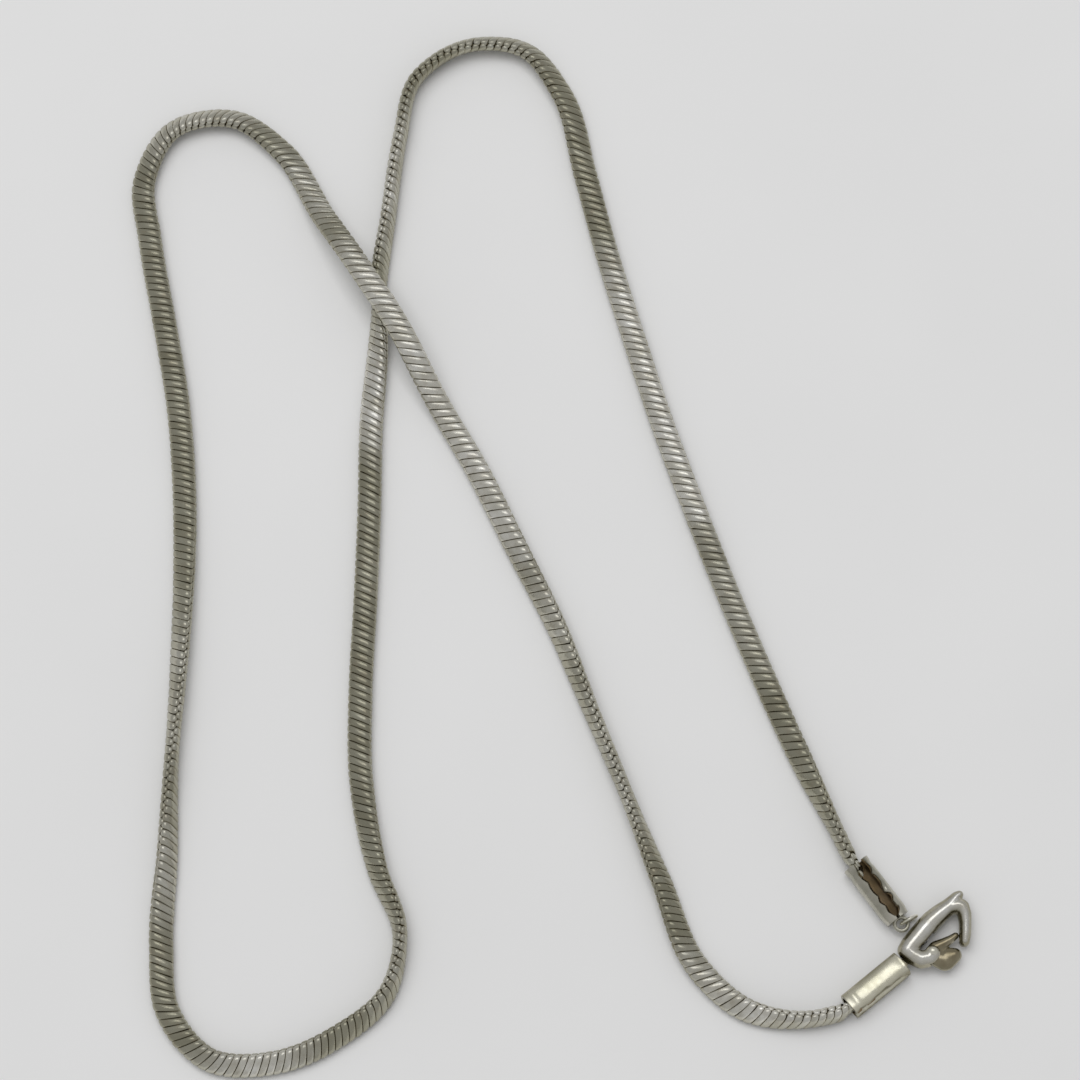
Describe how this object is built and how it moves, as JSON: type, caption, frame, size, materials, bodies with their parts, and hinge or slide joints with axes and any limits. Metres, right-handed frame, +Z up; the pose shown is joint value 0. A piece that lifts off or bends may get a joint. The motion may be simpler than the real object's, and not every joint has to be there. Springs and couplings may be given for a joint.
{
  "type": "chain necklace",
  "caption": "Flattened snake chain necklace laid out in loops, with folded end caps, a catch ring and a sprung lobster clasp.",
  "frame": {"origin": "on the table, under the middle of the necklace as laid out", "axes": "+Z up from the table, +Y along the longer side of the layout, +X along the shorter side"},
  "size_m": [0.0915, 0.1176, 0.0047],
  "materials": {
    "chain": "polished silver links, darkened in the grooves",
    "end_cap": "polished folded sheet",
    "ring": "polished wire",
    "clasp": "polished casting",
    "spring": "bright spring wire"
  },
  "bodies": {
    "run_24": {"snake_chain_run_24": "chain"},
    "run_01": {"snake_chain_run_01": "chain", "end_cap_a": "end_cap"},
    "run_02": {"snake_chain_run_02": "chain"},
    "run_03": {"snake_chain_run_03": "chain"},
    "run_04": {"snake_chain_run_04": "chain"},
    "run_05": {"snake_chain_run_05": "chain"},
    "run_06": {"snake_chain_run_06": "chain"},
    "run_07": {"snake_chain_run_07": "chain"},
    "run_08": {"snake_chain_run_08": "chain"},
    "run_09": {"snake_chain_run_09": "chain"},
    "run_10": {"snake_chain_run_10": "chain"},
    "run_11": {"snake_chain_run_11": "chain"},
    "run_12": {"snake_chain_run_12": "chain"},
    "run_13": {"snake_chain_run_13": "chain"},
    "run_14": {"snake_chain_run_14": "chain"},
    "run_15": {"snake_chain_run_15": "chain"},
    "run_16": {"snake_chain_run_16": "chain"},
    "run_17": {"snake_chain_run_17": "chain"},
    "run_18": {"snake_chain_run_18": "chain"},
    "run_19": {"snake_chain_run_19": "chain"},
    "run_20": {"snake_chain_run_20": "chain"},
    "run_21": {"snake_chain_run_21": "chain"},
    "run_22": {"snake_chain_run_22": "chain"},
    "run_23": {"snake_chain_run_23": "chain"},
    "run_25": {"snake_chain_run_25": "chain"},
    "run_26": {"snake_chain_run_26": "chain"},
    "run_27": {"snake_chain_run_27": "chain"},
    "run_28": {"snake_chain_run_28": "chain"},
    "run_29": {"snake_chain_run_29": "chain"},
    "run_30": {"snake_chain_run_30": "chain"},
    "run_31": {"snake_chain_run_31": "chain"},
    "run_32": {"snake_chain_run_32": "chain"},
    "run_33": {"snake_chain_run_33": "chain"},
    "run_34": {"snake_chain_run_34": "chain"},
    "run_35": {"snake_chain_run_35": "chain"},
    "run_36": {"snake_chain_run_36": "chain"},
    "run_37": {"snake_chain_run_37": "chain"},
    "run_38": {"snake_chain_run_38": "chain"},
    "run_39": {"snake_chain_run_39": "chain"},
    "run_40": {"snake_chain_run_40": "chain"},
    "run_41": {"snake_chain_run_41": "chain"},
    "run_42": {"snake_chain_run_42": "chain"},
    "run_43": {"snake_chain_run_43": "chain"},
    "run_44": {"snake_chain_run_44": "chain"},
    "run_45": {"snake_chain_run_45": "chain"},
    "run_46": {"snake_chain_run_46": "chain"},
    "run_47": {"snake_chain_run_47": "chain"},
    "run_48": {"snake_chain_run_48": "chain", "end_cap_b": "end_cap"},
    "catch_ring": {"catch_ring": "ring"},
    "clasp": {"clasp_hook": "clasp", "clasp_pivot_pin": "clasp", "clasp_spring": "spring"},
    "clasp_lever": {"clasp_lever": "clasp"}
  },
  "joints": [
    {"name": "lift_25", "type": "hinge", "parent": "run_24", "child": "run_25", "pos_m": [-0.03668, -0.05594, 0.00092], "axis": [-0.6501, -0.7598, 0], "range_deg": [-22, 0]},
    {"name": "lift_23", "type": "hinge", "parent": "run_24", "child": "run_23", "pos_m": [-0.027, -0.05697, 0.00102], "axis": [-0.2692, 0.9631, 0], "range_deg": [0, 22]},
    {"name": "lift_26", "type": "hinge", "parent": "run_25", "child": "run_26", "pos_m": [-0.04049, -0.04694, 0.00082], "axis": [-0.9995, -0.0323, 0], "range_deg": [-22, 0]},
    {"name": "lift_22", "type": "hinge", "parent": "run_23", "child": "run_22", "pos_m": [-0.01823, -0.05205, 0.00118], "axis": [0.671, -0.7414, 0], "range_deg": [-22, 0]},
    {"name": "lift_27", "type": "hinge", "parent": "run_26", "child": "run_27", "pos_m": [-0.04024, -0.03683, 0.00109], "axis": [-0.9982, 0.0607, 0], "range_deg": [-22, 0]},
    {"name": "lift_21", "type": "hinge", "parent": "run_22", "child": "run_21", "pos_m": [-0.01534, -0.04277, 0.00132], "axis": [0.9833, 0.1821, 0], "range_deg": [-22, 0]},
    {"name": "lift_28", "type": "hinge", "parent": "run_27", "child": "run_28", "pos_m": [-0.04, -0.0267, 0.00134], "axis": [-0.9997, 0.0241, 0], "range_deg": [-22, 0]},
    {"name": "lift_20", "type": "hinge", "parent": "run_21", "child": "run_20", "pos_m": [-0.01858, -0.03321, 0.00102], "axis": [0.9777, 0.2099, 0], "range_deg": [-22, 0]},
    {"name": "lift_29", "type": "hinge", "parent": "run_28", "child": "run_29", "pos_m": [-0.03952, -0.01659, 0.00126], "axis": [-0.9988, 0.049, 0], "range_deg": [-22, 0]},
    {"name": "lift_19", "type": "hinge", "parent": "run_20", "child": "run_19", "pos_m": [-0.01978, -0.02317, 0.00083], "axis": [0.9998, 0.0197, 0], "range_deg": [-22, 0]},
    {"name": "lift_30", "type": "hinge", "parent": "run_29", "child": "run_30", "pos_m": [-0.03917, -0.00646, 0.00105], "axis": [-0.9999, 0.0151, 0], "range_deg": [-22, 0]},
    {"name": "lift_18", "type": "hinge", "parent": "run_19", "child": "run_18", "pos_m": [-0.01963, -0.01304, 0.00081], "axis": [0.999, -0.0456, 0], "range_deg": [-22, 0]},
    {"name": "lift_31", "type": "hinge", "parent": "run_30", "child": "run_31", "pos_m": [-0.03929, 0.00366, 0.00084], "axis": [-0.999, -0.0445, 0], "range_deg": [-22, 0]},
    {"name": "lift_17", "type": "hinge", "parent": "run_18", "child": "run_17", "pos_m": [-0.01921, -0.00292, 0.00081], "axis": [0.9995, -0.0316, 0], "range_deg": [-22, 0]},
    {"name": "sway_32", "type": "hinge", "parent": "run_31", "child": "run_32", "pos_m": [-0.04013, 0.01376, 0.00082], "axis": [0, 0, 1], "range_deg": [-6, 0]},
    {"name": "lift_16", "type": "hinge", "parent": "run_17", "child": "run_16", "pos_m": [-0.01903, 0.00721, 0.00082], "axis": [1, 0.0001, 0], "range_deg": [-22, 0]},
    {"name": "lift_33", "type": "hinge", "parent": "run_32", "child": "run_33", "pos_m": [-0.04188, 0.02373, 0.00081], "axis": [-0.9821, -0.1886, 0], "range_deg": [-8, 13]},
    {"name": "sway_15", "type": "hinge", "parent": "run_16", "child": "run_15", "pos_m": [-0.01864, 0.01733, 0.00091], "axis": [0, 0, 1], "range_deg": [-7, 10]},
    {"name": "sway_34", "type": "hinge", "parent": "run_33", "child": "run_34", "pos_m": [-0.04382, 0.03368, 0.00083], "axis": [0, 0, 1], "range_deg": [-10, 0]},
    {"name": "lift_14", "type": "hinge", "parent": "run_15", "child": "run_14", "pos_m": [-0.01831, 0.02744, 0.00134], "axis": [1, 0.0087, 0], "range_deg": [-21, 16]},
    {"name": "lift_35", "type": "hinge", "parent": "run_34", "child": "run_35", "pos_m": [-0.04415, 0.04363, 0.00094], "axis": [0.9384, -0.3456, 0], "range_deg": [-22, 0]},
    {"name": "sway_13", "type": "hinge", "parent": "run_14", "child": "run_13", "pos_m": [-0.01726, 0.0375, 0.00131], "axis": [0, 0, 1], "range_deg": [-7, 0]},
    {"name": "sway_36", "type": "hinge", "parent": "run_35", "child": "run_36", "pos_m": [-0.03642, 0.04888, 0.00108], "axis": [0, 0, -1], "range_deg": [-5, 0]},
    {"name": "lift_12", "type": "hinge", "parent": "run_13", "child": "run_12", "pos_m": [-0.01591, 0.04754, 0.00134], "axis": [-0.9888, 0.1493, 0], "range_deg": [-22, 22]},
    {"name": "lift_37", "type": "hinge", "parent": "run_36", "child": "run_37", "pos_m": [-0.02818, 0.04357, 0.00086], "axis": [0.8071, 0.5904, 0], "range_deg": [-22, 0]},
    {"name": "sway_11", "type": "hinge", "parent": "run_12", "child": "run_11", "pos_m": [-0.01152, 0.05616, 0.00132], "axis": [0, 0, -1], "range_deg": [0, 7]},
    {"name": "sway_38", "type": "hinge", "parent": "run_37", "child": "run_38", "pos_m": [-0.02339, 0.03495, 0.00268], "axis": [0, 0, -1], "range_deg": [-6, 0]},
    {"name": "lift_10", "type": "hinge", "parent": "run_11", "child": "run_10", "pos_m": [-0.00187, 0.05692, 0.00114], "axis": [0.508, 0.8614, 0], "range_deg": [-22, 22]},
    {"name": "lift_39", "type": "hinge", "parent": "run_38", "child": "run_39", "pos_m": [-0.01795, 0.02658, 0.00384], "axis": [0.8396, 0.5432, 0], "range_deg": [-22, 5]},
    {"name": "sway_09", "type": "hinge", "parent": "run_10", "child": "run_09", "pos_m": [0.00339, 0.04848, 0.00089], "axis": [0, 0, 1], "range_deg": [-9, 0]},
    {"name": "sway_40", "type": "hinge", "parent": "run_39", "child": "run_40", "pos_m": [-0.01311, 0.0179, 0.00248], "axis": [0, 0, 1], "range_deg": [0, 8]},
    {"name": "lift_08", "type": "hinge", "parent": "run_09", "child": "run_08", "pos_m": [0.00564, 0.03861, 0.00081], "axis": [-0.9706, -0.2406, 0], "range_deg": [-22, 22]},
    {"name": "lift_41", "type": "hinge", "parent": "run_40", "child": "run_41", "pos_m": [-0.00817, 0.00932, 0.00084], "axis": [0.8716, 0.4903, 0], "range_deg": [-22, 22]},
    {"name": "sway_07", "type": "hinge", "parent": "run_08", "child": "run_07", "pos_m": [0.00826, 0.02882, 0.00084], "axis": [0, 0, 1], "range_deg": [-12, 0]},
    {"name": "sway_42", "type": "hinge", "parent": "run_41", "child": "run_42", "pos_m": [-0.00364, 0.00026, 0.00095], "axis": [0, 0, 1], "range_deg": [-16, 11]},
    {"name": "lift_06", "type": "hinge", "parent": "run_07", "child": "run_06", "pos_m": [0.0112, 0.01912, 0.00083], "axis": [-0.9569, -0.2903, 0], "range_deg": [-22, 22]},
    {"name": "lift_43", "type": "hinge", "parent": "run_42", "child": "run_43", "pos_m": [0.00084, -0.00883, 0.00112], "axis": [0.906, 0.4232, 0], "range_deg": [-22, 22]},
    {"name": "sway_05", "type": "hinge", "parent": "run_06", "child": "run_05", "pos_m": [0.01432, 0.00949, 0.00083], "axis": [0, 0, 1], "range_deg": [-16, 0]},
    {"name": "sway_44", "type": "hinge", "parent": "run_43", "child": "run_44", "pos_m": [0.00465, -0.01821, 0.0013], "axis": [0, 0, -1], "range_deg": [0, 16]},
    {"name": "lift_04", "type": "hinge", "parent": "run_05", "child": "run_04", "pos_m": [0.01775, -0.00005, 0.00083], "axis": [-0.9394, -0.3429, 0], "range_deg": [-22, 22]},
    {"name": "lift_45", "type": "hinge", "parent": "run_44", "child": "run_45", "pos_m": [0.00847, -0.02759, 0.00134], "axis": [-0.9269, -0.3752, 0], "range_deg": [-22, 22]},
    {"name": "sway_03", "type": "hinge", "parent": "run_04", "child": "run_03", "pos_m": [0.02135, -0.00952, 0.00084], "axis": [0, 0, 1], "range_deg": [-16, 0]},
    {"name": "sway_46", "type": "hinge", "parent": "run_45", "child": "run_46", "pos_m": [0.01217, -0.03702, 0.00114], "axis": [0, 0, 1], "range_deg": [-16, 0]},
    {"name": "lift_02", "type": "hinge", "parent": "run_03", "child": "run_02", "pos_m": [0.02517, -0.0189, 0.00088], "axis": [0.9225, 0.386, 0], "range_deg": [-22, 22]},
    {"name": "lift_47", "type": "hinge", "parent": "run_46", "child": "run_47", "pos_m": [0.01584, -0.04644, 0.00085], "axis": [-0.84, -0.5426, 0], "range_deg": [-22, 22]},
    {"name": "sway_01", "type": "hinge", "parent": "run_02", "child": "run_01", "pos_m": [0.02925, -0.02817, 0.00121], "axis": [0, 0, 1], "range_deg": [-16, 0]},
    {"name": "sway_48", "type": "hinge", "parent": "run_47", "child": "run_48", "pos_m": [0.02366, -0.05247, 0.00116], "axis": [0, 0, -1], "range_deg": [0, 16]},
    {"name": "catch_ring_swing", "type": "hinge", "parent": "run_01", "child": "catch_ring", "pos_m": [0.03802, -0.0426, 0.0011], "axis": [0, 0, 1], "range_deg": [-8, 18]},
    {"name": "clasp_swing", "type": "hinge", "parent": "run_48", "child": "clasp", "pos_m": [0.03911, -0.04595, 0.0013], "axis": [0, 0, 1], "range_deg": [-30, 0]},
    {"name": "clasp_lever_press", "type": "hinge", "parent": "clasp", "child": "clasp_lever", "pos_m": [0.04122, -0.04569, 0.0013], "axis": [0, 0, 1], "range_deg": [0, 11], "stiffness_Nm_per_rad": 0.01, "springref_deg": -5.73}
  ]
}
